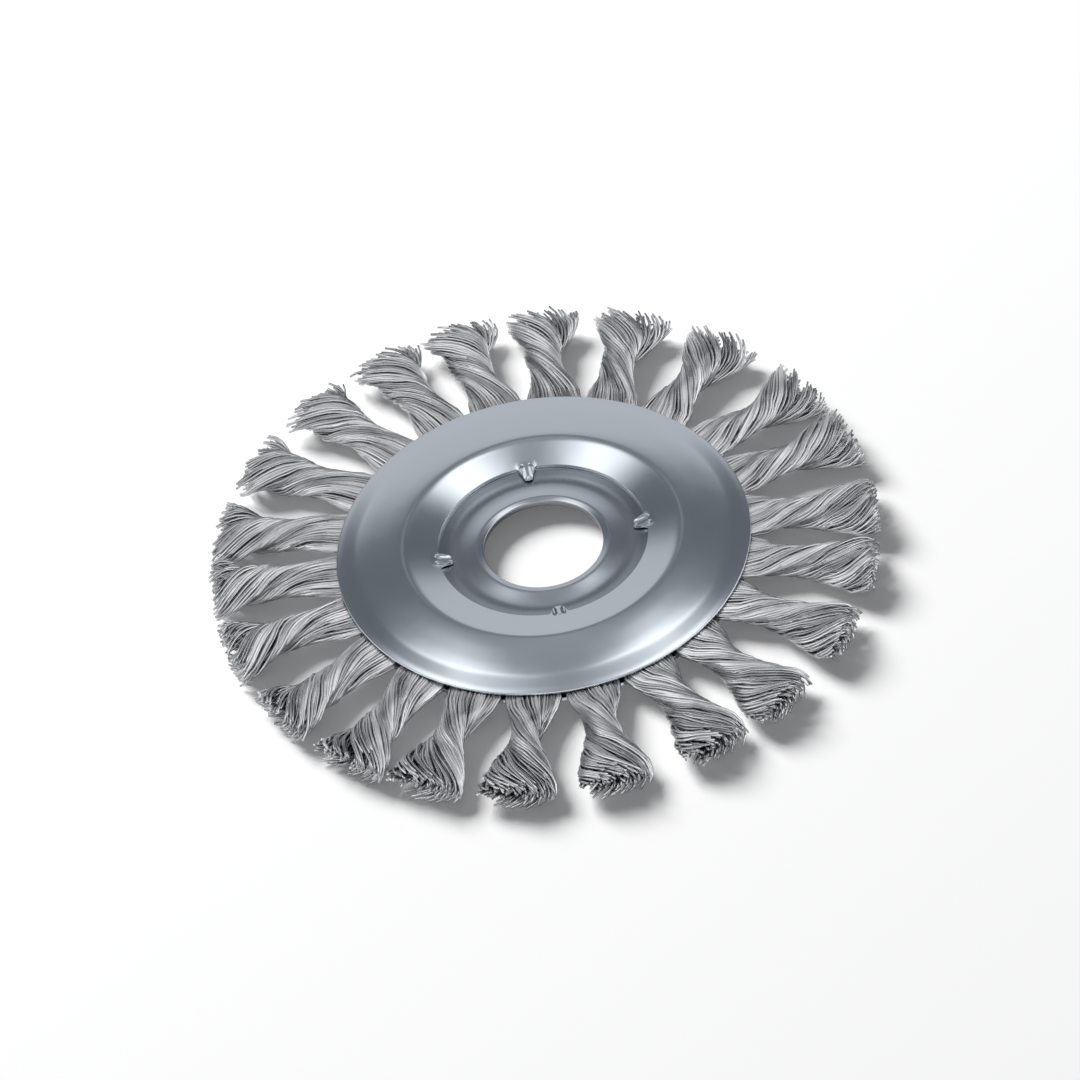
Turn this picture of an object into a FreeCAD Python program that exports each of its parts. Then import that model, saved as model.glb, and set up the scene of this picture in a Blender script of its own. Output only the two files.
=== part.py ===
import FreeCAD, Part
import os
import Sketcher
from math import atan, cos, pi, radians, sin

# Twist-knot wire wheel brush for an angle grinder, lying flat with its bore upright.
# The origin is the middle of the bore, +Z runs along the bore and +X points to the right.
# Two pressed side plates clamp a hub and a carrier ring between them. Bundles of wire are
# looped through the carrier's holes, leave between the plates' lips and are twisted into knots.

document = FreeCAD.newDocument("wire_wheel_brush")

# Driving dimensions in millimetres, degrees where the name says so.
driving = {
    "wheelRadius": 62.5,        # out to the cut wire ends
    "boreRadius": 11.1,         # for the grinder's 22.2 mm spindle flange
    "hubRimHeight": 0.8,        # half the hub's thickness at the bore
    "hubRimRadius": 12.6,       # outer edge of the flat rim round the bore
    "hubRimRound": 4.0,         # bend from the rim down into the dish
    "boreChamfer": 0.3,
    "dishRadius": 15.4,         # where the hub's dish is deepest
    "dishHeight": 0.45,         # half the hub's thickness there, before its rounding
    "dishRound": 10.0,          # bend across the bottom of the dish
    "ledgeHeight": 0.68,        # top of the hub at the foot of the step under the plate's edge
    "hubRadius": 21.6,          # outer edge of the hub, under the plates
    "hubSeatOverlap": 0.15,     # the step stands this far inside the plate's edge
    "sheet": 0.6,               # thickness of the pressed plates
    "plateBoreRadius": 19.5,    # inner edge of the plates
    "plateRadius": 38.5,
    "seatHeight": 1.25,         # underside of the plate at its inner edge
    "crestRadius": 25.8,        # highest ring of the plate
    "crestHeight": 3.35,        # where the slopes on both sides of it would meet
    "crestRound": 20.0,         # bend radius on the outside of the sheet
    "lipWidth": 3.2,            # turned-down band along the plate's outer edge
    "lipHeight": 2.2,           # top of the plate where that band starts
    "lipRound": 20.0,           # bend between the bead and that band
    "mouthHalfGap": 0.9,        # half the gap between the two lips
    "stakeCount": 4,
    "stakeAngle": 2.5,          # degrees from +X to the first stake
    "stakeWidth": 2.0,
    "stakeReach": 2.5,          # how far a stake is punched in over the hub
    "stakeDrop": 0.65,          # how far its tip is pushed down
    "carrierThickness": 1.0,
    "carrierRadius": 28.2,
    "holeCircleRadius": 25.0,
    "holeRadius": 1.8,
    "knotCount": 22,
    "firstKnotAngle": -1.3,     # degrees from +X to the first knot
    "metalGap": 0.05,           # between pressed parts that seat on each other
    "wireGap": 0.15,            # between the wires and the parts round them
    "loopWidth": 5.6,           # width of a bundle at its fold inside the carrier's hole
    "mouthWidth": 10.2,         # width of a bundle where it leaves the plates
    "waistRadius": 47.5,
    "waistWidth": 6.8,
    "waistDepth": 5.4,
    "tipWidth": 14.8,
    "tipDepth": 7.4,
    "tipRound": 1.0,            # length over which the cut end is rounded off
    "tipShrink": 0.84,          # size of the end face against the full section
    "twistTurns": 0.52,         # left-handed turns of a knot between the lips and its tip
    "twistGain": 1.8,           # above 1 the twist tightens towards the tip
    "plyGroove": 0.3,           # depth of the groove between the two plies, as a part of the radius
    "leanRadius": 52.0,         # from here outwards a knot stands aside by its full lean
}

# Degrees by which each knot stands aside from its even place round the axis, knot 1 first.
leans = [-2.1, -0.4, -1.8, 1.3, 2.8, 3.1, 2.2, 0.2, -0.1, 0.7, 1.6,
         -1.0, -1.6, 0.5, 0.8, -1.2, -1.5, -1.3, 0.2, -1.8, -0.4, -0.1]

# Degrees by which each knot's plies are turned round its own axis, in the same order.
phases = [-53, -7, -7, -18, -7, -7, 16, 18, 18, 4, -27,
          -13, -37, -30, -18, -63, -66, -80, -70, -66, -66, -66]

for number, (lean, phase) in enumerate(zip(leans, phases), start=1):
    driving["lean%02d" % number] = lean
    driving["phase%02d" % number] = phase

sheet = document.addObject("Spreadsheet::Sheet", "sizes")
for row, (name, value) in enumerate(driving.items(), start=1):
    sheet.set("A%d" % row, name)
    sheet.set("B%d" % row, str(value))
    sheet.setAlias("B%d" % row, name)
document.recompute()
size = {name: float(sheet.get(name)) for name in driving}

# Heights and slopes of the plate's underside, which the hub, the wires and the stakes follow.
underCrest = size["crestHeight"] - size["sheet"]
underLip = size["lipHeight"] - size["sheet"]
lipRadius = size["plateRadius"] - size["lipWidth"]

# The bend over the crest keeps the sheet below the corner where the two slopes would meet, by
# the bend's radius over the cosine of half its turn, less the radius.
innerSlope = atan((underCrest - size["seatHeight"]) / (size["crestRadius"] - size["plateBoreRadius"]))
outerSlope = atan((underCrest - underLip) / (lipRadius - size["crestRadius"]))
archDrop = (size["crestRound"] - size["sheet"]) * (1 / cos((innerSlope + outerSlope) / 2) - 1)


def addSketch(body, name, role):
    sketch = body.newObject("Sketcher::SketchObject", name)
    plane = [item for item in body.Origin.OriginFeatures if item.Role == role][0]
    sketch.AttachmentSupport = [(plane, "")]
    sketch.MapMode = "FlatFace"
    return sketch


def bindConstraint(sketch, name, constraint, expression):
    number = sketch.addConstraint(constraint)
    sketch.renameConstraint(number, name)
    sketch.setExpression("Constraints." + name, expression)


# Closed outline of straight lines: each corner is a pair of expressions, across and up.
# The corners start on a rough circle and the constraints pull them to their places.
# A corner with a bend in bends then gets an arc tangent to its two lines. A bend is a list of
# cells: the first is its radius, less the ones after it.
def drawOutline(sketch, corners, bends):
    count = len(corners)
    rough = []
    for index in range(count):
        turn = 2 * pi * index / count
        rough.append(FreeCAD.Vector(30 + 5 * cos(turn), 10 + 5 * sin(turn), 0))
    for index in range(count):
        sketch.addGeometry(Part.LineSegment(rough[index], rough[(index + 1) % count]), False)
    for index in range(count):
        sketch.addConstraint(Sketcher.Constraint("Coincident", index, 2, (index + 1) % count, 1))
    for index, (across, up) in enumerate(corners):
        corner = rough[index]
        distance = Sketcher.Constraint("DistanceX", -1, 1, index, 1, corner.x)
        bindConstraint(sketch, "across%d" % index, distance, across)
        distance = Sketcher.Constraint("DistanceY", -1, 1, index, 1, corner.y)
        bindConstraint(sketch, "up%d" % index, distance, up)
    document.recompute()
    for index, bend in bends.items():
        before = sketch.Geometry[index - 1]
        after = sketch.Geometry[index]
        reach = min(before.length(), after.length()) / 4
        onBefore = before.EndPoint + (before.StartPoint - before.EndPoint).normalize() * reach
        onAfter = after.StartPoint + (after.EndPoint - after.StartPoint).normalize() * reach
        radius = size[bend[0]] - sum(size[name] for name in bend[1:])
        arc = len(sketch.Geometry)
        sketch.fillet(index - 1, index, onBefore, onAfter, radius, True, True)
        expression = " - ".join("sizes." + name for name in bend)
        constraint = Sketcher.Constraint("Radius", arc, radius)
        bindConstraint(sketch, "bend%d" % index, constraint, expression)
        document.recompute()


def drawCircle(sketch, radius, across):
    circle = Part.Circle(FreeCAD.Vector(20, 0, 0), FreeCAD.Vector(0, 0, 1), 5)
    number = sketch.addGeometry(circle, False)
    bindConstraint(sketch, "radius%d" % number, Sketcher.Constraint("Radius", number, 5), radius)
    distance = Sketcher.Constraint("DistanceX", -1, 1, number, 3, 20)
    bindConstraint(sketch, "across%d" % number, distance, across)
    sketch.addConstraint(Sketcher.Constraint("PointOnObject", number, 3, -1))


def addRevolution(body, name, sketch):
    turned = body.newObject("PartDesign::Revolution", name)
    turned.Profile = sketch
    turned.ReferenceAxis = (sketch, ["V_Axis"])
    turned.Angle = 360
    document.recompute()
    return turned


def addPattern(body, name, feature, count):
    pattern = body.newObject("PartDesign::PolarPattern", name)
    axis = [item for item in body.Origin.OriginFeatures if item.Role == "Z_Axis"][0]
    pattern.Originals = [feature]
    pattern.Axis = (axis, [""])
    pattern.Angle = 360
    pattern.setExpression("Occurrences", count)
    body.Tip = pattern
    return pattern


# Side plate, pressed from sheet: a shallow bead with its crest over the carrier's holes, a
# turned-down lip at the outer edge, and stakes that are punched in over the hub.
def makePlate(name):
    body = document.addObject("PartDesign::Body", name)
    body.Label = name

    profile = addSketch(body, name + "_profile", "XZ_Plane")
    lipRadiusCell = "sizes.plateRadius - sizes.lipWidth"
    drawOutline(profile, [
        ("sizes.plateBoreRadius", "sizes.seatHeight + sizes.sheet"),
        ("sizes.crestRadius", "sizes.crestHeight"),
        (lipRadiusCell, "sizes.lipHeight"),
        ("sizes.plateRadius", "sizes.mouthHalfGap + sizes.sheet"),
        ("sizes.plateRadius", "sizes.mouthHalfGap"),
        (lipRadiusCell, "sizes.lipHeight - sizes.sheet"),
        ("sizes.crestRadius", "sizes.crestHeight - sizes.sheet"),
        ("sizes.plateBoreRadius", "sizes.seatHeight"),
    ], {
        1: ["crestRound"],
        2: ["lipRound"],
        5: ["lipRound", "sheet"],
        6: ["crestRound", "sheet"],
    })
    addRevolution(body, name + "_sheet", profile)

    # One stake, drawn from the side: it leaves the sheet's edge and slopes down over the hub.
    tongue = addSketch(body, name + "_stake_side", "XZ_Plane")
    tipRadius = "sizes.plateBoreRadius - sizes.stakeReach"
    drawOutline(tongue, [
        ("sizes.plateBoreRadius + sizes.sheet", "sizes.seatHeight + sizes.sheet"),
        ("sizes.plateBoreRadius", "sizes.seatHeight + sizes.sheet"),
        (tipRadius, "sizes.seatHeight + sizes.sheet - sizes.stakeDrop"),
        (tipRadius, "sizes.seatHeight + sizes.metalGap - sizes.stakeDrop"),
        ("sizes.plateBoreRadius", "sizes.seatHeight"),
        ("sizes.plateBoreRadius + sizes.sheet", "sizes.seatHeight + sizes.sheet / 2"),
    ], {})
    stake = body.newObject("PartDesign::Pad", name + "_stake")
    stake.Profile = tongue
    stake.SideType = "Symmetric"
    stake.setExpression("Length", "sizes.stakeWidth")
    addPattern(body, name + "_stakes", stake, "sizes.stakeCount")
    return body


# Hub: a turned ring with a short bore, a flat rim, a shallow dish and a step up to the cone on
# which the plate's inner edge seats. The same on both faces.
def makeHub(name):
    body = document.addObject("PartDesign::Body", name)
    body.Label = name
    rise = "(sizes.crestHeight - sizes.seatHeight - sizes.sheet)"
    slope = rise + " / (sizes.crestRadius - sizes.plateBoreRadius)"
    seat = "sizes.seatHeight - sizes.metalGap"
    seatInner = seat + " - sizes.hubSeatOverlap * " + slope
    stepRadius = "sizes.plateBoreRadius - sizes.hubSeatOverlap"
    seatOuter = seat + " + (sizes.hubRadius - sizes.plateBoreRadius) * " + slope
    upper = [
        ("sizes.boreRadius", "sizes.hubRimHeight - sizes.boreChamfer"),
        ("sizes.boreRadius + sizes.boreChamfer", "sizes.hubRimHeight"),
        ("sizes.hubRimRadius", "sizes.hubRimHeight"),
        ("sizes.dishRadius", "sizes.dishHeight"),
        (stepRadius, "sizes.ledgeHeight"),
        (stepRadius, seatInner),
        ("sizes.hubRadius", seatOuter),
    ]
    lower = [(across, "-(" + up + ")") for across, up in reversed(upper)]
    profile = addSketch(body, name + "_profile", "XZ_Plane")
    lastCorner = len(upper + lower) - 1
    drawOutline(profile, upper + lower, {
        2: ["hubRimRound"],
        3: ["dishRound"],
        lastCorner - 3: ["dishRound"],
        lastCorner - 2: ["hubRimRound"],
    })
    body.Tip = addRevolution(body, name + "_turned", profile)
    return body


# Carrier: a flat ring round the hub with one hole for each bundle of wire.
def makeCarrier(name):
    body = document.addObject("PartDesign::Body", name)
    body.Label = name
    outline = addSketch(body, name + "_outline", "XY_Plane")
    drawCircle(outline, "sizes.carrierRadius", "0")
    drawCircle(outline, "sizes.hubRadius + sizes.metalGap", "0")
    disc = body.newObject("PartDesign::Pad", name + "_disc")
    disc.Profile = outline
    disc.SideType = "Symmetric"
    disc.setExpression("Length", "sizes.carrierThickness")
    document.recompute()

    mark = addSketch(body, name + "_hole_mark", "XY_Plane")
    drawCircle(mark, "sizes.holeRadius", "sizes.holeCircleRadius")
    hole = body.newObject("PartDesign::Pocket", name + "_hole")
    hole.Profile = mark
    hole.SideType = "Symmetric"
    hole.setExpression("Length", "sizes.carrierThickness * 2")
    addPattern(body, name + "_holes", hole, "sizes.knotCount")
    return body


# Half the room between the plates at one radius, less the gap that the wires keep.
def roomBetweenPlates(radius):
    corners = [
        (size["plateBoreRadius"], size["seatHeight"]),
        (size["crestRadius"], underCrest - archDrop),
        (lipRadius, underLip),
        (size["plateRadius"], size["mouthHalfGap"]),
    ]
    room = size["mouthHalfGap"]
    for (innerRadius, innerRoom), (outerRadius, outerRoom) in zip(corners, corners[1:]):
        if innerRadius <= radius <= outerRadius:
            share = (radius - innerRadius) / (outerRadius - innerRadius)
            room = innerRoom + (outerRoom - innerRoom) * share
    return room - size["wireGap"]


# Smooth step from 0 to 1 between two radii.
def ease(radius, start, end):
    share = min(max((radius - start) / (end - start), 0), 1)
    return share * share * (3 - 2 * share)


# Half width, half depth, groove and twist of a knot's section at one radius. Between the plates
# it is a flat oval that fills the room there. Outside them it narrows to the waist, spreads to
# the tip and is cut by a groove on each side that winds round it with the twist.
def knotSection(radius):
    mouth = size["plateRadius"]
    if radius <= mouth:
        share = (radius - loopStart) / (mouth - loopStart)
        width = size["loopWidth"] + (size["mouthWidth"] - size["loopWidth"]) * share
        return width / 2, roomBetweenPlates(radius), 0, 0
    narrowing = ease(radius, mouth, size["waistRadius"])
    spreading = ease(radius, size["waistRadius"], size["wheelRadius"])
    mouthDepth = 2 * (size["mouthHalfGap"] - size["wireGap"])
    width = size["mouthWidth"] + (size["waistWidth"] - size["mouthWidth"]) * narrowing
    depth = mouthDepth + (size["waistDepth"] - mouthDepth) * narrowing
    width += (size["tipWidth"] - size["waistWidth"]) * spreading
    depth += (size["tipDepth"] - size["waistDepth"]) * spreading
    groove = size["plyGroove"] * narrowing
    travelled = (radius - mouth) / (size["wheelRadius"] - mouth)
    turn = -2 * pi * size["twistTurns"] * travelled ** size["twistGain"]
    return width / 2, depth / 2, groove, turn


# Corners of one section: two lobes, one for each ply, turned by the phase and the twist and
# then pressed flat. The lean turns the section round the wheel's axis.
def sectionCorners(radius, shrink, lean, phase):
    halfWidth, halfDepth, groove, turn = knotSection(radius)
    turn += phase * ease(radius, loopStart, size["plateRadius"])
    aside = lean * ease(radius, size["plateRadius"], size["leanRadius"])
    corners = []
    for index in range(sectionSides):
        angle = 2 * pi * index / sectionSides
        lobe = shrink * (1 - groove * sin(angle) ** 6)
        across = halfWidth * lobe * cos(angle + turn)
        up = halfDepth * lobe * sin(angle + turn)
        along = radius * cos(aside) - across * sin(aside)
        across = radius * sin(aside) + across * cos(aside)
        corners.append(FreeCAD.Vector(along, across, up))
    return corners


def flatFace(corners):
    return Part.Face(Part.makePolygon(corners + [corners[0]]))


# Knot: sections joined by triangles that follow the strands, with a slot for the carrier's rim
# and a core of folded wires that fills the carrier's hole.
def knotShape(lean, phase):
    sections = [sectionCorners(radius, shrink, lean, phase) for radius, shrink in stations]
    faces = [flatFace(sections[0]), flatFace(sections[-1])]
    for inner, outer in zip(sections, sections[1:]):
        for index in range(sectionSides):
            after = (index + 1) % sectionSides
            faces.append(flatFace([inner[index], inner[after], outer[after]]))
            faces.append(flatFace([inner[index], outer[after], outer[index]]))
    bundle = Part.makeSolid(Part.makeShell(faces))

    slotEnd = size["carrierRadius"] + size["wireGap"]
    slotHeight = size["carrierThickness"] + 2 * size["wireGap"]
    slotCorner = FreeCAD.Vector(loopStart - 1, -size["mouthWidth"], -slotHeight / 2)
    slot = Part.makeBox(slotEnd - loopStart + 1, 2 * size["mouthWidth"], slotHeight, slotCorner)

    coreRadius = size["holeRadius"] - size["wireGap"]
    ring = []
    for index in range(coreSides):
        angle = 2 * pi * index / coreSides
        along = size["holeCircleRadius"] + coreRadius * cos(angle)
        across = coreRadius * sin(angle)
        ring.append(FreeCAD.Vector(along, across, -slotHeight / 2))
    core = flatFace(ring).extrude(FreeCAD.Vector(0, 0, slotHeight))
    return bundle.cut(slot).fuse(core).removeSplitter()


def makeKnot(name, shape, angle):
    knot = document.addObject("Part::Feature", name)
    knot.Label = name
    knot.Shape = shape
    turn = FreeCAD.Rotation(FreeCAD.Vector(0, 0, 1), angle)
    knot.Placement = FreeCAD.Placement(FreeCAD.Vector(0, 0, 0), turn)
    return knot


# Where the knot's sections stand: four between the plates, then even steps to the rounded tip.
sectionSides = 12
coreSides = 6
outerSteps = 12
loopStart = size["holeCircleRadius"] - size["holeRadius"] - size["wireGap"]
stations = [(loopStart, 0.9), (size["crestRadius"], 1), (lipRadius, 1), (size["plateRadius"], 1)]
tipStart = size["wheelRadius"] - size["tipRound"]
for step in range(1, outerSteps):
    travelled = (tipStart - size["plateRadius"]) * step / (outerSteps - 1)
    stations.append((size["plateRadius"] + travelled, 1))
halfEnd = size["tipShrink"] * size["tipWidth"] / 2
stations.append(((size["wheelRadius"] ** 2 - halfEnd ** 2) ** 0.5, size["tipShrink"]))

frontPlate = makePlate("front_plate")
frontPlate.Placement.Rotation.Axis = FreeCAD.Vector(0, 0, 1)
frontPlate.setExpression("Placement.Rotation.Angle", "sizes.stakeAngle")

backPlate = makePlate("back_plate")
turnedOver = FreeCAD.Rotation(FreeCAD.Vector(1, 0, 0), 180)
backPlate.Placement = FreeCAD.Placement(FreeCAD.Vector(0, 0, 0), turnedOver)

hub = makeHub("hub")

carrier = makeCarrier("carrier_ring")
carrier.Placement.Rotation.Axis = FreeCAD.Vector(0, 0, 1)
carrier.setExpression("Placement.Rotation.Angle", "sizes.firstKnotAngle")

subParts = [frontPlate, backPlate, hub, carrier]
knotCount = int(size["knotCount"])
for number in range(knotCount):
    place = number % len(leans) + 1
    shape = knotShape(radians(size["lean%02d" % place]), radians(size["phase%02d" % place]))
    angle = size["firstKnotAngle"] + 360 * number / knotCount
    subParts.append(makeKnot("knot_%02d" % (number + 1), shape, angle))

document.recompute()

for item in document.Objects:
    if "Invalid" in item.State or "Error" in item.State:
        raise RuntimeError("%s did not build: %s" % (item.Label, item.State))
for part in subParts:
    if part.Shape.isNull() or not part.Shape.isValid() or len(part.Shape.Solids) != 1:
        raise RuntimeError("%s is not one valid solid" % part.Label)

os.makedirs("parts", exist_ok=True)
for part in subParts:
    part.Shape.exportStep(os.path.join("parts", part.Label + ".step"))
print("%d pieces written" % len(subParts))
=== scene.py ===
from math import cos, pi, radians, sin

import bpy
import numpy as np
from mathutils import Matrix, Vector


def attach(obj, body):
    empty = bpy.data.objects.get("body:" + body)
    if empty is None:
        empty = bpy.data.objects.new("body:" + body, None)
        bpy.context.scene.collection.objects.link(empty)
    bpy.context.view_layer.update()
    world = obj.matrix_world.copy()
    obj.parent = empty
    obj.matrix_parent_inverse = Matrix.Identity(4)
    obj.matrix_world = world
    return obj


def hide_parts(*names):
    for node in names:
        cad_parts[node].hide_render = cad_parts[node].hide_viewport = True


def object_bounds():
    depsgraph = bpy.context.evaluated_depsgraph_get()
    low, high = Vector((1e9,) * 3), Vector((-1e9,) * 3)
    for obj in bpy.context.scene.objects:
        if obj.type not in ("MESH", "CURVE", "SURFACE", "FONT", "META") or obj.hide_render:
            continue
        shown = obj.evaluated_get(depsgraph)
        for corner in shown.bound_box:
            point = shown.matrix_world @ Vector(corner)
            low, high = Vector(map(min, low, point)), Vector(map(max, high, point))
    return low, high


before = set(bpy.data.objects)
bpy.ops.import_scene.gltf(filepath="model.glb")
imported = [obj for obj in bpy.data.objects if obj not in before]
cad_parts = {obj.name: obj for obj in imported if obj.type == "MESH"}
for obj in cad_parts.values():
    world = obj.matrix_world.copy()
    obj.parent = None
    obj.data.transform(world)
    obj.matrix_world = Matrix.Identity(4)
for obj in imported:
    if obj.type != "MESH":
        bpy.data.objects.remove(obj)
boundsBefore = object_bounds()
mm = 0.001
print("frame loaded:", len(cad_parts), "nodes")


# Shader maths: a Value wraps a socket, and an expression on Values adds its Math nodes.
class Value:
    def __init__(self, paint, socket):
        self.paint = paint
        self.socket = socket

    def __add__(self, other):
        return self.paint.maths("ADD", self, other)

    def __radd__(self, other):
        return self.paint.maths("ADD", other, self)

    def __sub__(self, other):
        return self.paint.maths("SUBTRACT", self, other)

    def __rsub__(self, other):
        return self.paint.maths("SUBTRACT", other, self)

    def __mul__(self, other):
        return self.paint.maths("MULTIPLY", self, other)

    def __rmul__(self, other):
        return self.paint.maths("MULTIPLY", other, self)


class Paint:
    def __init__(self, tree):
        self.tree = tree
        tree.nodes.clear()

    # one node: its settings first, then the values or links of its sockets
    def node(self, kind, settings=None, sockets=None):
        made = self.tree.nodes.new(kind)
        for name, value in (settings or {}).items():
            if name == "stops":
                ramp = made.color_ramp
                while len(ramp.elements) < len(value):
                    ramp.elements.new(0.5)
                for element, (place, tone) in zip(ramp.elements, value):
                    element.position = place
                    element.color = (tone[0], tone[1], tone[2], 1)
            else:
                setattr(made, name, value)
        for name, value in (sockets or {}).items():
            if isinstance(value, Value):
                value = value.socket
            if isinstance(value, bpy.types.NodeSocket):
                self.tree.links.new(value, made.inputs[name])
            else:
                made.inputs[name].default_value = value
        return made

    def maths(self, operation, *terms):
        made = self.node("ShaderNodeMath", {"operation": operation}, dict(enumerate(terms)))
        return Value(self, made.outputs[0])

    # 0 below low, 1 above high, smooth between; low may be the larger one
    def step(self, value, low, high):
        made = self.node("ShaderNodeMapRange", {"interpolation_type": "SMOOTHSTEP"}, {
            "Value": value, "From Min": low, "From Max": high})
        return Value(self, made.outputs["Result"])

    def noise(self, scale, detail=2.0, roughness=0.5, where=None):
        where = where or self.node("ShaderNodeTexCoord").outputs["Object"]
        made = self.node("ShaderNodeTexNoise", {}, {
            "Vector": where, "Scale": scale, "Detail": detail, "Roughness": roughness})
        return Value(self, made.outputs["Fac"])

    def blend(self, share, first, second):
        ends = [(*tone, 1) if isinstance(tone, tuple) else tone for tone in (first, second)]
        made = self.node("ShaderNodeMix", {"data_type": "RGBA"}, {0: share, 6: ends[0], 7: ends[1]})
        return made.outputs[2]

    def bump(self, height, strength, distance):
        return self.node("ShaderNodeBump", {}, {
            "Height": height, "Strength": strength, "Distance": distance}).outputs["Normal"]

    def finish(self, shader):
        self.node("ShaderNodeOutputMaterial", {}, {"Surface": shader})


def newMaterial(name):
    material = bpy.data.materials.new(name)
    material.use_nodes = True
    return material, Paint(material.node_tree)


# Bright zinc on pressed sheet. Between the two radii, in metres from the axis, its tone goes over
# to the ring's tone and its roughness to the dull one.
zinc = {
    "tone": (0.55, 0.59, 0.63),
    "darkTone": (0.51, 0.55, 0.59),
    "roughness": 0.145,
    "roughnessSpread": 0.04,
    "ringTone": (0.53, 0.57, 0.61),
    "dullRoughness": 0.145,
    "dullFrom": 0.03,
    "dullTo": 0.036,
}

# Grain of the zinc: scales of its soft mottling, of its clouds and of the finest waves, and the
# height of the waves in metres.
zincGrain = {
    "mottleScale": 260,
    "cloudScale": 70,
    "fineScale": 2400,
    "cloudShare": 0.8,
    "fineShare": 0.03,
    "waveHeight": 0.000036,
}


def zincMaterial(name, look):
    material, paint = newMaterial(name)
    where = paint.node("ShaderNodeTexCoord").outputs["Object"]
    parts = paint.node("ShaderNodeSeparateXYZ", {}, {0: where})
    east = Value(paint, parts.outputs[0])
    north = Value(paint, parts.outputs[1])
    radius = paint.maths("SQRT", east * east + north * north)
    # share of the ring's tone and roughness; on the hub the ring's darker tone is painted shade in the
    # dish
    ringShare = paint.step(radius, look["dullFrom"], look["dullTo"])
    mottle = paint.noise(zincGrain["mottleScale"], 3)
    cloud = paint.noise(zincGrain["cloudScale"], 2)
    fine = paint.noise(zincGrain["fineScale"], 2)
    tone = paint.blend(0.5 * cloud + 0.5 * mottle, look["darkTone"], look["tone"])
    tone = paint.blend(ringShare, tone, look["ringTone"])
    # painted shade: the bore's wall is darkened
    if "boreShadeTone" in look:
        boreShade = paint.step(radius, look["boreFrom"], look["boreTo"])
        tone = paint.blend(boreShade, tone, look["boreShadeTone"])
    gloss = look["roughness"] + (look["dullRoughness"] - look["roughness"]) * ringShare
    roughness = gloss + look["roughnessSpread"] * (mottle - 0.5)
    waves = zincGrain["cloudShare"] * cloud + zincGrain["fineShare"] * fine
    height = waves * zincGrain["waveHeight"]
    shader = paint.node("ShaderNodeBsdfPrincipled", {}, {
        "Base Color": tone,
        "Metallic": 1.0,
        "Roughness": roughness,
        "Normal": paint.bump(height, 1.0, 1.0),
    })
    paint.finish(shader.outputs[0])
    return material


# Hub: the same zinc, with a darker tone of painted shade and a rougher finish in the dish towards the
# plate's edge, and painted shade darkening the bore.
hubLook = {
    "tone": (0.5, 0.535, 0.57),
    "darkTone": (0.46, 0.495, 0.53),
    "roughness": 0.155,
    "roughnessSpread": 0.04,
    # painted shade: this darker tone stands for the shade in the dish beside the plate's step
    "ringTone": (0.28, 0.305, 0.335),
    "dullRoughness": 0.27,
    "dullFrom": 0.0135,
    "dullTo": 0.0172,
    # painted shade darkening the bore's wall
    "boreShadeTone": (0.3, 0.31, 0.33),
    "boreFrom": 0.01125,
    "boreTo": 0.01113,
}

# Drawn wire: the tone along each wire is kept in the mesh and holds painted light and shade besides each
# wire's own tone, and soft patches are mixed into it.
wireLook = {
    "tone": (0.86, 0.865, 0.875),
    "darkTone": (0.25, 0.255, 0.265),
    "metal": 0.9,
    "roughness": 0.26,
    "roughnessSpread": 0.12,
    "patchScale": 420,
    "patchShare": 0.25,
}


def wireMaterial():
    material, paint = newMaterial("drawnWire")
    own = Value(paint, paint.node("ShaderNodeAttribute", {"attribute_name": "tone"}).outputs["Fac"])
    patch = paint.noise(wireLook["patchScale"], 2)
    share = (1 - wireLook["patchShare"]) * own + wireLook["patchShare"] * patch
    shader = paint.node("ShaderNodeBsdfPrincipled", {}, {
        "Base Color": paint.blend(share, wireLook["darkTone"], wireLook["tone"]),
        "Metallic": wireLook["metal"],
        "Roughness": wireLook["roughness"] + wireLook["roughnessSpread"] * (own - 0.5),
    })
    paint.finish(shader.outputs[0])
    return material


# Plain mild steel of the ring inside.
carrierLook = {
    "tone": (0.5, 0.5, 0.51),
    "darkTone": (0.38, 0.38, 0.39),
    "roughness": 0.38,
    "roughnessSpread": 0.15,
    "cloudScale": 160,
}


def carrierMaterial():
    material, paint = newMaterial("carrierSteel")
    cloud = paint.noise(carrierLook["cloudScale"], 3)
    shader = paint.node("ShaderNodeBsdfPrincipled", {}, {
        "Base Color": paint.blend(cloud, carrierLook["darkTone"], carrierLook["tone"]),
        "Metallic": 1.0,
        "Roughness": carrierLook["roughness"] + carrierLook["roughnessSpread"] * cloud,
    })
    paint.finish(shader.outputs[0])
    return material


plateZinc = zincMaterial("plateZinc", zinc)
hubZinc = zincMaterial("hubZinc", hubLook)
drawnWire = wireMaterial()
carrierSteel = carrierMaterial()
print("materials made")


# Mesh of quads from a points array and an index array, four to a row.
def quadPiece(name, points, quads, smooth, material):
    mesh = bpy.data.meshes.new(name)
    mesh.vertices.add(len(points))
    mesh.vertices.foreach_set("co", points.astype(np.float32).ravel())
    mesh.loops.add(quads.size)
    mesh.loops.foreach_set("vertex_index", quads.astype(np.int32).ravel())
    mesh.polygons.add(len(quads))
    mesh.polygons.foreach_set("loop_start", np.arange(0, quads.size, 4, dtype=np.int32))
    mesh.polygons.foreach_set("use_smooth", smooth)
    mesh.update(calc_edges=True)
    mesh.validate()
    mesh.materials.append(material)
    piece = bpy.data.objects.new(name, mesh)
    bpy.context.collection.objects.link(piece)
    return piece


# Quads of a grid of rows by columns that closes both ways: each joins a point to the next in
# its row and in its column, counted round.
def torusQuads(rows, columns):
    row, column = np.meshgrid(np.arange(rows), np.arange(columns), indexing="ij")
    nextRow = (row + 1) % rows
    nextColumn = (column + 1) % columns
    corners = [row * columns + column, nextRow * columns + column,
               nextRow * columns + nextColumn, row * columns + nextColumn]
    return np.stack(corners, axis=-1).reshape(-1, 4)


# smooth step from 0 at start to 1 at end
def ease(value, start, end):
    share = np.clip((value - start) / (end - start), 0, 1)
    return share * share * (3 - 2 * share)


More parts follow.
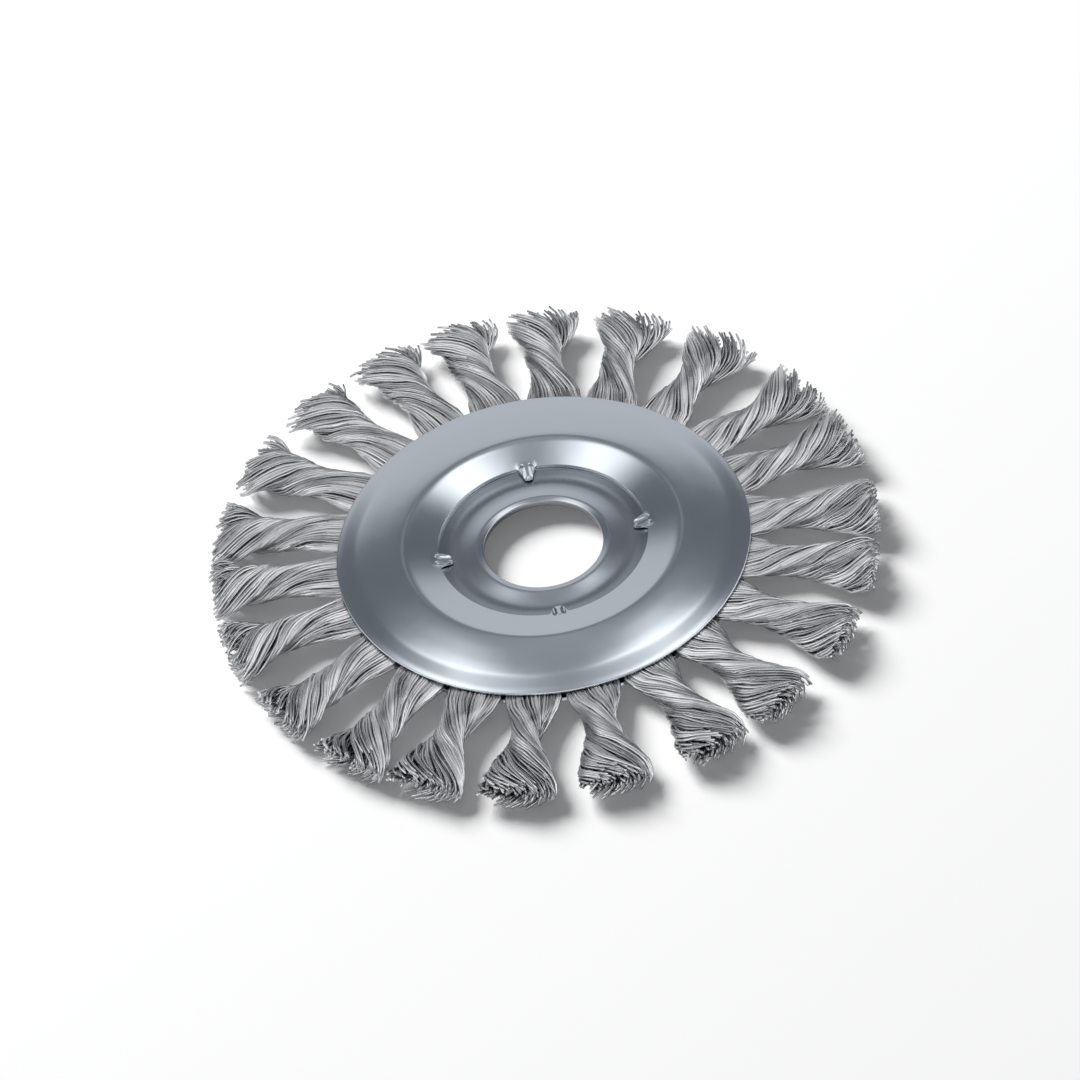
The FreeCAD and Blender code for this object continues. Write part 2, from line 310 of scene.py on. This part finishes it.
# Closed outline with its corners rounded: each corner is (radius, height, bend). The arc's
# tangent points lie bend / tan(half the corner's angle) from the corner, and the arc's points
# are its centre plus the bend turned evenly from one tangent point to the other, by at most 0.2
# radians at a time. A segment that starts inside the fine radius is cut to the finer length.
def roundedOutline(corners, longest, fineRadius=0, fineLongest=1):
    spots = np.array([corner[:2] for corner in corners], float)
    pieces = []
    for index, (_, _, bend) in enumerate(corners):
        spot = spots[index]
        back = spots[index - 1] - spot
        ahead = spots[(index + 1) % len(spots)] - spot
        back /= np.linalg.norm(back)
        ahead /= np.linalg.norm(ahead)
        half = np.arccos(np.clip(back @ ahead, -1, 1)) / 2
        if bend == 0:
            pieces.append(spot[None])
            continue
        middle = (back + ahead) / np.linalg.norm(back + ahead)
        centre = spot + middle * bend / np.sin(half)
        start = spot + back * bend / np.tan(half) - centre
        side = np.array([-start[1], start[0]])
        if side @ ahead < 0:
            side = -side
        sweep = pi - 2 * half
        count = max(4, int(np.ceil(sweep / 0.2)), int(np.ceil(sweep * bend / longest)) + 1)
        turn = np.linspace(0, sweep, count)[:, None]
        pieces.append(centre + start * np.cos(turn) + side * np.sin(turn))
    outline = np.concatenate(pieces)
    steps = np.roll(outline, -1, axis=0) - outline
    limit = np.where(outline[:, 0] < fineRadius, fineLongest, longest)
    counts = np.maximum(1, np.ceil(np.linalg.norm(steps, axis=1) / limit).astype(int))
    share = np.concatenate([np.arange(count) / count for count in counts])[:, None]
    return np.repeat(outline, counts, axis=0) + np.repeat(steps, counts, axis=0) * share


# Side plate in millimetres, close to the CAD node, with the sheet's edges rounded over.
plate = {
    "boreRadius": 19.5,
    "plateRadius": 38.5,
    "sheet": 0.6,
    "boreHeight": 1.87,         # top of the sheet at its inner edge
    "slopes": ((19.0, 11.0), (24.6, 11.8), (25.7, 6.5), (26.2, -3.4), (27.2, -5.0), (29.6, -6.4),
               (32.0, -6.9), (34.3, -8.4), (35.3, -12.8), (37.2, -12.8), (38.1, -9.4),
               (39.0, -9.4)),
    "bendLength": 0.6,          # over which the slopes are averaged
    "sectionPoints": 56,
    "longestEdge": 0.4,
    "fineEdge": 0.16,           # longest edge inside the fine radius
    "fineRadius": 21.1,
    "edgeRound": 0.2,
    "boreEdgeRound": 0.05,
    "stakeCount": 4,
    "stakeAngle": 2.5,          # degrees from +X to the front plate's first stake
    "stakeWidth": 2.7,
    "stakeReach": 2.6,
    "stakeRoot": 1.6,           # width of the band at the inner edge that a stake is pushed out of
    "stakeDrop": 0.85,
    "stakeThin": 0.25,          # the underside drops by this much less
    "nearStake": 6.0,           # degrees to each side of a stake with the closer columns
    "nearColumns": 44,
    "farColumns": 40,
    "barSpacing": 1.8,          # between the two ribs along a stake's sides
    "barWidth": 0.36,
    "barHeight": 0.27,
    "barStart": (0.2, 0.8),     # from a stake's tip, where the ribs rise and where they end
    "barEnd": (2.5, 3.4),
    "dentWidth": 0.4,
    "dentDepth": 0.1,
}


# Section of the sheet: the slope in degrees of its top runs straight from one radius in the list
# to the next and is averaged over the bend's length. The height is the running sum of the
# slope's tangent times the step, and the underside lies the sheet's thickness below.
def sheetSection():
    step = 0.01
    fine = np.arange(18.0, 40.0, step)
    places, degrees = np.array(plate["slopes"]).T
    window = round(plate["bendLength"] / step) + 1
    slope = np.convolve(np.interp(fine, places, degrees), np.full(window, 1 / window), "same")
    steepness = np.tan(np.radians(slope))
    rise = np.cumsum(steepness) * step
    radius = np.linspace(plate["boreRadius"], plate["plateRadius"], plate["sectionPoints"])
    top = np.interp(radius, fine, rise)
    top = top - top[0] + plate["boreHeight"]
    bottom = top - plate["sheet"] * np.sqrt(1 + np.interp(radius, fine, steepness) ** 2)
    bends = np.zeros(len(radius))
    bends[0] = plate["boreEdgeRound"]
    bends[-1] = plate["edgeRound"]
    upper = np.stack([radius, top, bends], axis=1)
    lower = np.stack([radius, bottom, bends], axis=1)
    return [tuple(corner) for corner in np.concatenate([upper, lower[::-1]])]


# Side plate: an outline turned round the axis. A stake is a smooth push of the inner edge,
# inwards by the reach and down by the drop, times a flat-topped bump exp(-(u / half width)^4)
# of the distance u along the edge. Its underside drops less, so the stake is thinner than the
# sheet. Two ribs run along its sides, with a hollow between them: bell curves across, and along
# the stake a product of two smooth steps.
def makePlate(name, stakeAngle, front):
    outline = roundedOutline(sheetSection(), plate["longestEdge"], plate["fineRadius"],
                             plate["fineEdge"])
    quarter = 2 * pi / plate["stakeCount"]
    near = radians(plate["nearStake"])
    fine = np.linspace(-near, near, plate["nearColumns"], endpoint=False)
    coarse = np.linspace(near, quarter - near, plate["farColumns"], endpoint=False)
    turn = np.concatenate([np.concatenate([fine, coarse]) + quarter * index
                           for index in range(plate["stakeCount"])])
    radius = np.repeat(outline[:, :1], len(turn), axis=1)
    height = np.repeat(outline[:, 1:], len(turn), axis=1)
    around = (turn + quarter / 2) % quarter - quarter / 2
    along = around[None, :] * plate["boreRadius"]
    inner = ease(plate["boreRadius"] + plate["stakeRoot"] - radius, 0, plate["stakeRoot"])
    bump = np.exp(-(along / (plate["stakeWidth"] / 2)) ** 4)
    onTop = height > plate["boreHeight"] - 0.4 * plate["sheet"]
    below = height < plate["boreHeight"] - 0.5 * plate["sheet"]
    drop = plate["stakeDrop"] - plate["stakeThin"] * below
    height = height - drop * bump * inner
    radius = radius - plate["stakeReach"] * bump * inner
    tip = plate["boreRadius"] - plate["stakeReach"]
    aside = np.abs(around[None, :] * radius)
    start = [tip + place for place in plate["barStart"]]
    end = [tip + place for place in plate["barEnd"]]
    span = ease(radius, *start) * (1 - ease(radius, *end))
    bars = np.exp(-((aside - plate["barSpacing"] / 2) / plate["barWidth"]) ** 2)
    dent = np.exp(-(aside / plate["dentWidth"]) ** 2)
    height = height + onTop * span * (plate["barHeight"] * bars - plate["dentDepth"] * dent)
    turn = turn[None, :] + stakeAngle
    points = np.stack([radius * np.cos(turn), radius * np.sin(turn), height], axis=-1)
    if not front:
        points = points * np.array([1, -1, -1])
    quads = torusQuads(*radius.shape)
    piece = quadPiece(name, points.reshape(-1, 3) * mm, quads, np.ones(len(quads), bool), plateZinc)
    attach(piece, "root")
    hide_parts("front_plate" if front else "back_plate")
    return piece


makePlate("frontPlateSheet", radians(plate["stakeAngle"]), True)
makePlate("backPlateSheet", 0, False)
print("plates made")


# Hub in millimetres: heights are measured from the middle plane.
hub = {
    "boreRadius": 11.1,
    "rimHeight": 0.8,
    "rimRadius": 12.35,
    "rimRound": 1.4,
    "rimFall": 0.2,             # of the rim towards the bore
    "boreRound": 0.2,
    "dishRadius": 16.9,
    "dishHeight": 0.23,
    "dishRound": 6.5,
    "ledgeHeight": 0.92,        # foot of the step, just inside the plate's edge
    "ledgeRound": 0.12,
    "seatRadius": 19.47,
    "seatHeight": 1.19,
    "seatRound": 0.03,
    "outerRadius": 21.6,
    "outerHeight": 1.58,
    "outerRound": 0.15,
    "columns": 240,
    "longestEdge": 0.4,
}


# Hub: a rounded outline turned round the axis, the same above and below. From the bore it rises
# to the rim's outer edge, falls into the dish, rises to the step under the plate's edge and
# follows the plate's underside to its outer edge.
def makeHub():
    upper = [
        (hub["boreRadius"], hub["rimHeight"] - hub["rimFall"], hub["boreRound"]),
        (hub["rimRadius"], hub["rimHeight"], hub["rimRound"]),
        (hub["dishRadius"], hub["dishHeight"], hub["dishRound"]),
        (hub["seatRadius"], hub["ledgeHeight"], hub["ledgeRound"]),
        (hub["seatRadius"], hub["seatHeight"], hub["seatRound"]),
        (hub["outerRadius"], hub["outerHeight"], hub["outerRound"]),
    ]
    lower = [(radius, -height, bend) for radius, height, bend in reversed(upper)]
    outline = roundedOutline(upper + lower, hub["longestEdge"])
    turn = np.linspace(0, 2 * pi, hub["columns"], endpoint=False)[None, :]
    radius = outline[:, :1]
    height = np.repeat(outline[:, 1:], hub["columns"], axis=1)
    points = np.stack([radius * np.cos(turn), radius * np.sin(turn), height], axis=-1)
    quads = torusQuads(*height.shape)
    piece = quadPiece("hubTurned", points.reshape(-1, 3) * mm, quads, np.ones(len(quads), bool), hubZinc)
    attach(piece, "root")
    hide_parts("hub")
    return piece


makeHub()
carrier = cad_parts["carrier_ring"]
for place in range(len(carrier.material_slots)):
    carrier.material_slots[place].material = carrierSteel
print("hub and carrier made")


# Wires of one knot, in millimetres: radius runs out from the axis, across along the rim.
knots = {
    "count": 22,
    "firstAngle": -1.3,         # degrees from +X to knot 1
    "firstSeed": 4100,
    "wireRadius": 0.27,
    "tipWireRadius": 0.3,
    "endWireRadius": 0.2,       # at the cut, reached over the taper's length
    "taperLength": 3.5,
    "sides": 4,
    "layers": ((48, 0.97), (38, 0.79), (28, 0.61), (20, 0.43), (12, 0.26), (4, 0.09)),
    "layerShake": 0.02,
    "angleShake": 0.9,          # radians, over the number of wires in the layer
    "clumps": 9,                # round the bundle
    "clumping": 0.07,           # radians by which the wires draw together into them
    "insideSteps": 3,
    "outsideSteps": 16,
    "stepGain": 1.3,            # above 1 the stations come closer together towards the tip
    "foldRadius": 24.8,
    "foldWidth": 5.2,
    "foldDepth": 3.6,
    "foldDeepUntil": 26.0,      # from here outwards the bundle gets flatter
    "foldLength": 1.7,          # over which the wires come down to the middle plane
    "leastHeight": 0.3,         # of a wire's middle over that plane everywhere else
    "mouthRadius": 38.5,
    "mouthWidth": 9.9,
    "mouthDepth": 1.3,
    "riseStart": 37.9,          # from here the flat band gets deeper, up to the next radius
    "riseEnd": 46.0,
    "waistRadius": 47.5,
    "waistWidth": 6.4,
    "waistDepth": 4.9,
    "leanRadius": 52.0,         # from here outwards a knot stands aside by its full lean
    "tipRadius": 62.3,
    "tipWidth": 14.3,
    "tipDepth": 6.8,
    "flareSpread": 0.03,        # each knot's tip is this part wider or narrower at most
    "plyTurns": 0.52,           # of the two plies round each other
    "wireTurns": 0.2,           # of the wires inside their ply, more than that
    "laidUntil": 0.62,          # part of the way out where the wires stop turning in their ply
    "twistGain": 1.8,
    "plyGroove": 0.3,
    "tipSplit": 0.12,           # the plies' way apart at the tip, as a part of the half width
    "splitStart": 53.5,
    "splitEnd": 62.0,
    "wander": 0.03,             # of each wire in its section, as a wave of the radius
    "wanderFrom": 38.0,
    "wanderPitch": 0.5,
    "cutSpread": 0.7,
    "shortBy": (0, 0, 0, 0, 0, 0.8, 1.5, 2.6),  # each wire is cut short by one of these
    "frayStart": 56.5,
    "frayEnd": 62.5,
    "frayPower": 1.5,
    "frayAcross": 0.4,
    "frayUp": 0.3,
    "strayShare": 0.02,
    "strayStart": 53.0,
    "strayEnd": 62.0,
    "strayAcross": (0.5, 1.6),
    "strayUp": (-0.8, 1.0),
    "deepest": 3.36,
    "longestRadius": 62.15,
}

# Tone of the wires, from 0 for the dark one to 1 for the bright one, with painted light and shade in it.
wireTones = {
    "middle": 0.56,
    "strands": 5,
    "streakContrast": 0.34,
    "streakSway": 0.8,          # radians by which the painted streaks of light and shade swing round along the knot
    "swayPitch": 0.3,
    "ownSpread": 0.16,
    "depthShadeGain": 0.3,           # painted light outside the next radius of the unit disc, painted shade inside
    "outerRadius": 0.8,
    "grooveShade": 0.5,
    "alongLightContrast": 0.12,
    "alongPitch": 0.55,
}

# Degrees by which each knot leans round the axis from its even place, knot 1 first.
leans = (-2.1, -0.4, -1.8, 1.3, 2.8, 3.1, 2.2, 0.2, -0.1, 0.7, 1.6,
         -1.0, -1.6, 0.5, 0.8, -1.2, -1.5, -1.3, 0.2, -1.8, -0.4, -0.1)

# Degrees by which each knot's plies are turned round its own axis, in the same order.
phases = (-53, -7, -7, -18, -7, -7, 16, 18, 18, 4, -27,
          -13, -37, -30, -18, -63, -66, -80, -70, -66, -66, -66)


# Half width and half depth of a bundle at each radius: a flat band between the plates' lips,
# a waist outside them and a flared tip, with a smooth step from one to the next.
def bundleSize(radius, flare):
    inside = ease(radius, knots["foldRadius"], knots["mouthRadius"])
    narrowing = ease(radius, knots["mouthRadius"], knots["waistRadius"])
    rising = ease(radius, knots["riseStart"], knots["riseEnd"])
    spreading = ease(radius, knots["waistRadius"], knots["tipRadius"])
    flattening = ease(radius, knots["foldDeepUntil"], knots["mouthRadius"])
    width = knots["foldWidth"] + (knots["mouthWidth"] - knots["foldWidth"]) * inside
    depth = knots["foldDepth"] + (knots["mouthDepth"] - knots["foldDepth"]) * flattening
    width = width + (knots["waistWidth"] - knots["mouthWidth"]) * narrowing
    depth = depth + (knots["waistDepth"] - knots["mouthDepth"]) * rising
    width = width + (knots["tipWidth"] * flare - knots["waistWidth"]) * spreading
    depth = depth + (knots["tipDepth"] - knots["waistDepth"]) * spreading
    return width / 2, depth / 2


# Places of a bundle's wires in a unit disc: rings of evenly spaced wires, shaken a little, with
# their angles drawn together by a small sine of the angle times the number of clumps.
def wirePlaces(random):
    radius = []
    angle = []
    for count, reach in knots["layers"]:
        even = random.uniform(0, 2 * pi) + 2 * pi * np.arange(count) / count
        angle.append(even + random.normal(0, knots["angleShake"] / count, count))
        radius.append(reach + random.normal(0, knots["layerShake"], count))
    radius = np.concatenate(radius)
    angle = np.concatenate(angle)
    clump = np.sin(knots["clumps"] * angle + random.uniform(0, 2 * pi))
    angle = angle + knots["clumping"] * clump
    return radius[:, None], angle[:, None]


# Tubes along many paths at once. Each path's frame is carried from station to station: the
# normal loses its part along the new tangent and is made one long again. A ring's points are
# the path plus the wire's radius there times normal * cos + binormal * sin.
def tubes(paths, thickness, sides):
    tangent = np.gradient(paths, axis=1)
    tangent /= np.linalg.norm(tangent, axis=-1, keepdims=True)
    normal = np.empty_like(tangent)
    guess = np.cross(tangent[:, 0], np.array([0.2, 1.0, 0.3]))
    normal[:, 0] = guess / np.linalg.norm(guess, axis=-1, keepdims=True)
    for station in range(1, paths.shape[1]):
        carried = normal[:, station - 1]
        ahead = tangent[:, station]
        carried = carried - ahead * (carried * ahead).sum(-1, keepdims=True)
        normal[:, station] = carried / np.linalg.norm(carried, axis=-1, keepdims=True)
    binormal = np.cross(tangent, normal)
    turn = 2 * pi * np.arange(sides) / sides
    ring = (normal[:, :, None] * np.cos(turn)[:, None] + binormal[:, :, None] * np.sin(turn)[:, None])
    points = paths[:, :, None] + ring * thickness[:, :, None, None]
    wires, stations = paths.shape[:2]
    wire, station, side = np.meshgrid(np.arange(wires), np.arange(stations - 1), np.arange(sides),
                                      indexing="ij")
    first = (wire * stations + station) * sides
    nextSide = (side + 1) % sides
    walls = np.stack([first + side, first + nextSide, first + sides + nextSide, first + sides + side],
                     axis=-1).reshape(-1, 4)
    start = np.arange(wires)[:, None] * stations * sides
    startCaps = start + np.arange(sides)[::-1]
    endCaps = start + (stations - 1) * sides + np.arange(sides)
    quads = np.concatenate([walls, startCaps, endCaps])
    smooth = np.ones(len(quads), bool)
    smooth[len(walls):] = False
    return points.reshape(-1, 3), quads, smooth


# One knot: two plies of wires that turn round each other. A wire's place in the section is its
# place in the unit disc, turned inside its ply, drawn in by the groove, moved apart with its ply
# near the tip, turned by the twist of the plies and multiplied by the half width and half depth.
# The groove takes its depth times the sixth power of the sine of the angle from the plies'
# middles off a wire's distance from the knot's axis. Each wire gets thinner towards its cut end.
def makeKnot(number):
    random = np.random.default_rng(knots["firstSeed"] + number)
    flare = random.uniform(1 - knots["flareSpread"], 1 + knots["flareSpread"])
    phase = radians(phases[number])
    ownRadius, ownAngle = wirePlaces(random)
    wires = len(ownRadius)

    # stations: a few in the plates, then closer together as the twist tightens
    cut = knots["longestRadius"] - np.abs(random.normal(0, knots["cutSpread"], wires))
    cut = cut - random.choice(knots["shortBy"], wires)
    outside = np.linspace(0, 1, knots["outsideSteps"] + 1) ** (1 / knots["stepGain"])
    inside = np.linspace(0, 1, knots["insideSteps"] + 1)[:-1]
    foldToMouth = knots["foldRadius"] + (knots["mouthRadius"] - knots["foldRadius"]) * inside
    radius = np.concatenate([
        np.repeat(foldToMouth[None, :], wires, axis=0),
        knots["mouthRadius"] + (cut[:, None] - knots["mouthRadius"]) * outside[None, :],
    ], axis=1)

    wayOut = knots["tipRadius"] - knots["mouthRadius"]
    travelled = np.clip((radius - knots["mouthRadius"]) / wayOut, 0, 1)
    plyTurn = phase - 2 * pi * knots["plyTurns"] * travelled ** knots["twistGain"]
    laid = np.minimum(travelled, knots["laidUntil"]) ** knots["twistGain"]
    fullyLaid = knots["laidUntil"] ** knots["twistGain"]
    wireAngle = ownAngle - 2 * pi * knots["wireTurns"] * laid / fullyLaid
    halfWidth, halfDepth = bundleSize(radius, flare)
    grooving = ease(radius, knots["mouthRadius"], knots["waistRadius"])
    groove = knots["plyGroove"] * grooving * np.sin(wireAngle) ** 6
    wander = knots["wander"] * random.normal(0, 1, (wires, 1))
    wave = (radius - knots["wanderFrom"]) * knots["wanderPitch"] + random.uniform(0, 2 * pi, (wires, 1))
    wander = wander * np.sin(wave)
    out = ownRadius * (1 - groove) + wander
    split = knots["tipSplit"] * ease(radius, knots["splitStart"], knots["splitEnd"])
    beside = out * np.cos(wireAngle) * (1 - split) + split * np.sign(np.cos(wireAngle[:, -1:]))
    over = out * np.sin(wireAngle)
    across = halfWidth * (beside * np.cos(plyTurn) - over * np.sin(plyTurn))
    up = halfDepth * (beside * np.sin(plyTurn) + over * np.cos(plyTurn))

    # frayed ends: a push of its own for each wire that sets in smoothly over the last stretch
    fray = ease(radius, knots["frayStart"], knots["frayEnd"]) ** knots["frayPower"]
    across = across + fray * random.normal(0, knots["frayAcross"], (wires, 1))
    up = up + fray * random.normal(0, knots["frayUp"], (wires, 1))

    # a few stray wires leave the bundle and end in the air beside the knot
    stray = random.random((wires, 1)) < knots["strayShare"]
    strayPush = ease(radius, knots["strayStart"], knots["strayEnd"]) ** knots["frayPower"] * stray
    side = random.choice([-1, 1], (wires, 1))
    across = across + strayPush * side * random.uniform(*knots["strayAcross"], (wires, 1))
    up = up + strayPush * random.uniform(*knots["strayUp"], (wires, 1))

    # every wire keeps off the middle plane until the fold, where it comes down to it; then the
    # wires that would stand out of the part are brought back
    fold = np.clip((knots["foldRadius"] + knots["foldLength"] - radius) / knots["foldLength"], 0, 1)
    least = knots["leastHeight"]
    up = np.where(np.abs(up) < least, least * np.sign(up + 1e-6), up) * (1 - fold)
    up = np.clip(up, -knots["deepest"], knots["deepest"])
    gone = np.hypot(radius, across) - knots["longestRadius"]
    radius = radius - np.clip(gone, 0, None)

    angle = radians(knots["firstAngle"] + 360 * number / knots["count"])
    lean = radians(leans[number]) * ease(radius, knots["mouthRadius"], knots["leanRadius"])
    turn = angle + lean
    paths = np.stack([radius * np.cos(turn) - across * np.sin(turn),
                      radius * np.sin(turn) + across * np.cos(turn), up], axis=-1)
    thickness = knots["wireRadius"] + (knots["tipWireRadius"] - knots["wireRadius"]) * travelled
    taper = ease(radius, cut[:, None] - knots["taperLength"], cut[:, None])
    thickness = thickness + (knots["endWireRadius"] - thickness) * taper
    points, quads, smooth = tubes(paths, thickness, knots["sides"])
    name = "knotWires%02d" % (number + 1)
    piece = quadPiece(name, points * mm, quads, smooth, drawnWire)

    # tone: a sine round the bundle paints bright and dark streaks of highlight and shade, each wire
    # differs a little at random, outer wires get painted light and inner ones painted shade, wires in
    # the groove get painted shade, and a slow wave of painted light and shade runs along each wire
    sway = wireTones["streakSway"] * np.sin(radius * wireTones["swayPitch"])
    # painted highlights and shade: bright and dark streaks round the bundle
    strand = np.sin(wireTones["strands"] * ownAngle + random.uniform(0, 2 * pi) + sway)
    ownTone = random.uniform(-wireTones["ownSpread"], wireTones["ownSpread"], (wires, 1))
    share = wireTones["middle"] + wireTones["streakContrast"] * strand + ownTone
    # painted shade on the inner wires, painted light on the outer ones
    share = share + wireTones["depthShadeGain"] * (ownRadius - wireTones["outerRadius"])
    # painted shade on the wires in the grooves between the plies
    share = share - wireTones["grooveShade"] * groove / knots["plyGroove"]
    # painted light and shade: a slow wave of lighter and darker along each wire
    along = np.sin(radius * wireTones["alongPitch"] + random.uniform(0, 2 * pi, (wires, 1)))
    share = share + wireTones["alongLightContrast"] * along
    tone = np.repeat(np.clip(share, 0, 1).ravel(), knots["sides"])
    own = piece.data.attributes.new("tone", "FLOAT", "POINT")
    own.data.foreach_set("value", tone.astype(np.float32))
    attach(piece, "root")
    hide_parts("knot_%02d" % (number + 1))
    return piece


for number in range(knots["count"]):
    makeKnot(number)
print("knots made:", knots["count"])


# Studio, in metres and degrees: a pale floor, a world with soft panels, and one soft lamp behind
# the wheel on the left, which reflections don't see.
studio = {
    "floorHeight": boundsBefore[0][2],
    "floorSize": 6.0,
    "floorTone": 0.93,
    "floorTint": 0.005,         # this much paler in the clouds of the paper
    "floorGlow": 0.09,          # light of its own, which keeps the paper near white
    "lampPower": 86.0,
    "lampSize": 1.3,
    "lampDistance": 2.5,
    "lampAzimuth": -40.0,       # degrees from +Y towards +X
    "lampElevation": 41.0,
    "ambient": 0.2,
    "ambientTone": (0.95, 1.0, 1.1),
    "low": 0.58,                # brightness of each panel of the world
    "right": 2.0,
    "left": 1.95,
    "wings": 0.6,
    "middle": 0.12,
    "bridge": 0.15,
    "top": 0.22,
    "behind": 1.1,              # soft panel behind the camera, seen only in reflections
    "west": 0.95,               # tall panels to the left and right, seen only in reflections
    "east": 1.15,
    "diffuseShare": 0.3,        # of the world's brightness, for all that isn't a reflection
}


def makeFloor():
    half = studio["floorSize"] / 2
    low = studio["floorHeight"]
    corners = np.array([(-half, -half, low), (half, -half, low), (half, half, low), (-half, half, low)])
    material, paint = newMaterial("floorPaper")
    tint = paint.noise(3.0, 2)
    shade = (studio["floorTone"],) * 3
    paler = (studio["floorTone"] + studio["floorTint"],) * 3
    shader = paint.node("ShaderNodeBsdfDiffuse", {}, {"Color": paint.blend(tint, shade, paler)})
    glow = paint.node("ShaderNodeEmission", {}, {"Color": (1, 1, 1, 1), "Strength": studio["floorGlow"]})
    both = paint.node("ShaderNodeAddShader", {}, {0: shader.outputs[0], 1: glow.outputs[0]})
    paint.finish(both.outputs[0])
    floor = quadPiece("floorPlane", corners, np.array([[0, 1, 2, 3]]), np.zeros(1, bool), material)


def makeLamp():
    azimuth = radians(studio["lampAzimuth"])
    elevation = radians(studio["lampElevation"])
    towards = Vector((sin(azimuth) * cos(elevation), cos(azimuth) * cos(elevation), sin(elevation)))
    light = bpy.data.lights.new("softLamp", "AREA")
    light.shape = "DISK"
    light.size = studio["lampSize"]
    light.energy = studio["lampPower"]
    lamp = bpy.data.objects.new("softLamp", light)
    lamp.location = towards * studio["lampDistance"]
    lamp.rotation_euler = towards.to_track_quat("Z", "Y").to_euler()
    lamp.visible_glossy = False
    bpy.context.collection.objects.link(lamp)


# The world's brightness by direction: a dim bluish room, low panels on four sides, and a pair
# of high panels with wings and a bridge, the same in front and behind. Only reflections see the
# panel behind the camera and the tall walls to the left and right, and everything else gets a
# share of the rest. Azimuth, in degrees from the front or the back, comes from atan2, and
# elevation from arcsine. The panels' edges are smooth steps.
def makeWorld():
    world = bpy.data.worlds.new("studio")
    bpy.context.scene.world = world
    world.use_nodes = True
    paint = Paint(world.node_tree)
    way = paint.node("ShaderNodeTexCoord").outputs["Generated"]
    parts = paint.node("ShaderNodeSeparateXYZ", {}, {0: way})
    east = Value(paint, parts.outputs[0])
    north = Value(paint, parts.outputs[1])
    rise = Value(paint, parts.outputs[2])
    degree = 180 / pi
    elevation = paint.maths("ARCSINE", rise) * degree
    azimuth = paint.maths("ARCTAN2", east, paint.maths("ABSOLUTE", north)) * degree
    offset = paint.maths("ABSOLUTE", azimuth)
    quarter = paint.maths("ABSOLUTE", paint.maths("SINE", azimuth * (2 / degree)))
    low = paint.step(quarter, 0.74, 0.5) * paint.step(elevation, 41, 34) * paint.step(elevation, 0, 8)
    slant = 0.7 * paint.maths("MAXIMUM", elevation - 60, 0.0)
    right = (paint.step(azimuth + slant, 8, 14) * paint.step(azimuth, 37, 24)
             * paint.step(elevation, 53, 59) * paint.step(elevation, 67, 62))
    left = (paint.step(azimuth, -7, -17) * paint.step(azimuth, -35, -24)
            * paint.step(elevation, 51, 60) * paint.step(elevation, 67, 62))
    bridge = (paint.step(offset, 24, 14) * paint.step(elevation, 47, 52)
              * paint.step(elevation, 62, 57))
    wings = (paint.step(offset, 3, 12) * paint.step(offset, 42, 34)
             * paint.step(elevation, 61, 66) * paint.step(elevation, 73, 68))
    middle = paint.step(offset, 8, 1.5) * paint.step(elevation, 34, 42) * paint.step(elevation, 70, 58)
    top = paint.step(elevation, 58, 68)
    mirrored = Value(paint, paint.node("ShaderNodeLightPath").outputs["Is Glossy Ray"])
    behind = (mirrored * paint.step(north, 0.05, -0.3) * paint.step(elevation, 22, 32)
              * paint.step(elevation, 68, 52))
    walls = mirrored * paint.step(elevation, 4, 16) * paint.step(elevation, 66, 48)
    west = walls * paint.step(azimuth, -44, -60)
    east = walls * paint.step(azimuth, 44, 60)
    panels = (studio["low"] * low + studio["right"] * right + studio["left"] * left
              + studio["wings"] * wings + studio["middle"] * middle + studio["bridge"] * bridge
              + studio["top"] * top + studio["behind"] * behind + studio["west"] * west
              + studio["east"] * east)
    share = studio["diffuseShare"] + (1 - studio["diffuseShare"]) * mirrored
    room = paint.node("ShaderNodeBackground", {}, {
        "Color": (*studio["ambientTone"], 1), "Strength": share * studio["ambient"]})
    soft = paint.node("ShaderNodeBackground", {}, {"Color": (1, 1, 1, 1), "Strength": share * panels})
    both = paint.node("ShaderNodeAddShader", {}, {0: room.outputs[0], 1: soft.outputs[0]})
    paint.node("ShaderNodeOutputWorld", {}, {"Surface": both.outputs[0]})


makeFloor()
makeLamp()
makeWorld()
print("studio made")


# Camera: it looks down at the wheel along +Y and is rolled, so that the wheel stands as in the
# photograph. The bore's middle is a few pixels off the frame's middle.
view = {
    "elevation": 44.8,          # degrees above the floor
    "roll": 9.3,
    "distance": 0.9,            # metres
    "pixelsPerMetre": 5413,
    "frameSize": 1080,
    "borePixel": (543.8, 545.9),
}


def makeCamera():
    elevation = radians(view["elevation"])
    roll = radians(view["roll"])
    forward = Vector((0, cos(elevation), -sin(elevation)))
    level = Vector((1, 0, 0))
    upright = Vector((0, sin(elevation), cos(elevation)))
    right = level * cos(roll) - upright * sin(roll)
    up = level * sin(roll) + upright * cos(roll)
    centre = view["frameSize"] / 2
    aside = (centre - view["borePixel"][0]) / view["pixelsPerMetre"]
    above = (view["borePixel"][1] - centre) / view["pixelsPerMetre"]
    target = right * aside + up * above
    place = target - forward * view["distance"]
    camera = bpy.data.cameras.new("camera")
    camera.sensor_width = 36
    camera.lens = view["pixelsPerMetre"] * view["distance"] / view["frameSize"] * camera.sensor_width
    camera.clip_start = 0.01
    holder = bpy.data.objects.new("camera", camera)
    turned = Matrix((right, up, -forward)).transposed().to_4x4()
    holder.matrix_world = Matrix.Translation(place) @ turned
    bpy.context.collection.objects.link(holder)
    bpy.context.scene.camera = holder


makeCamera()
bpy.context.scene.view_settings.view_transform = "Standard"
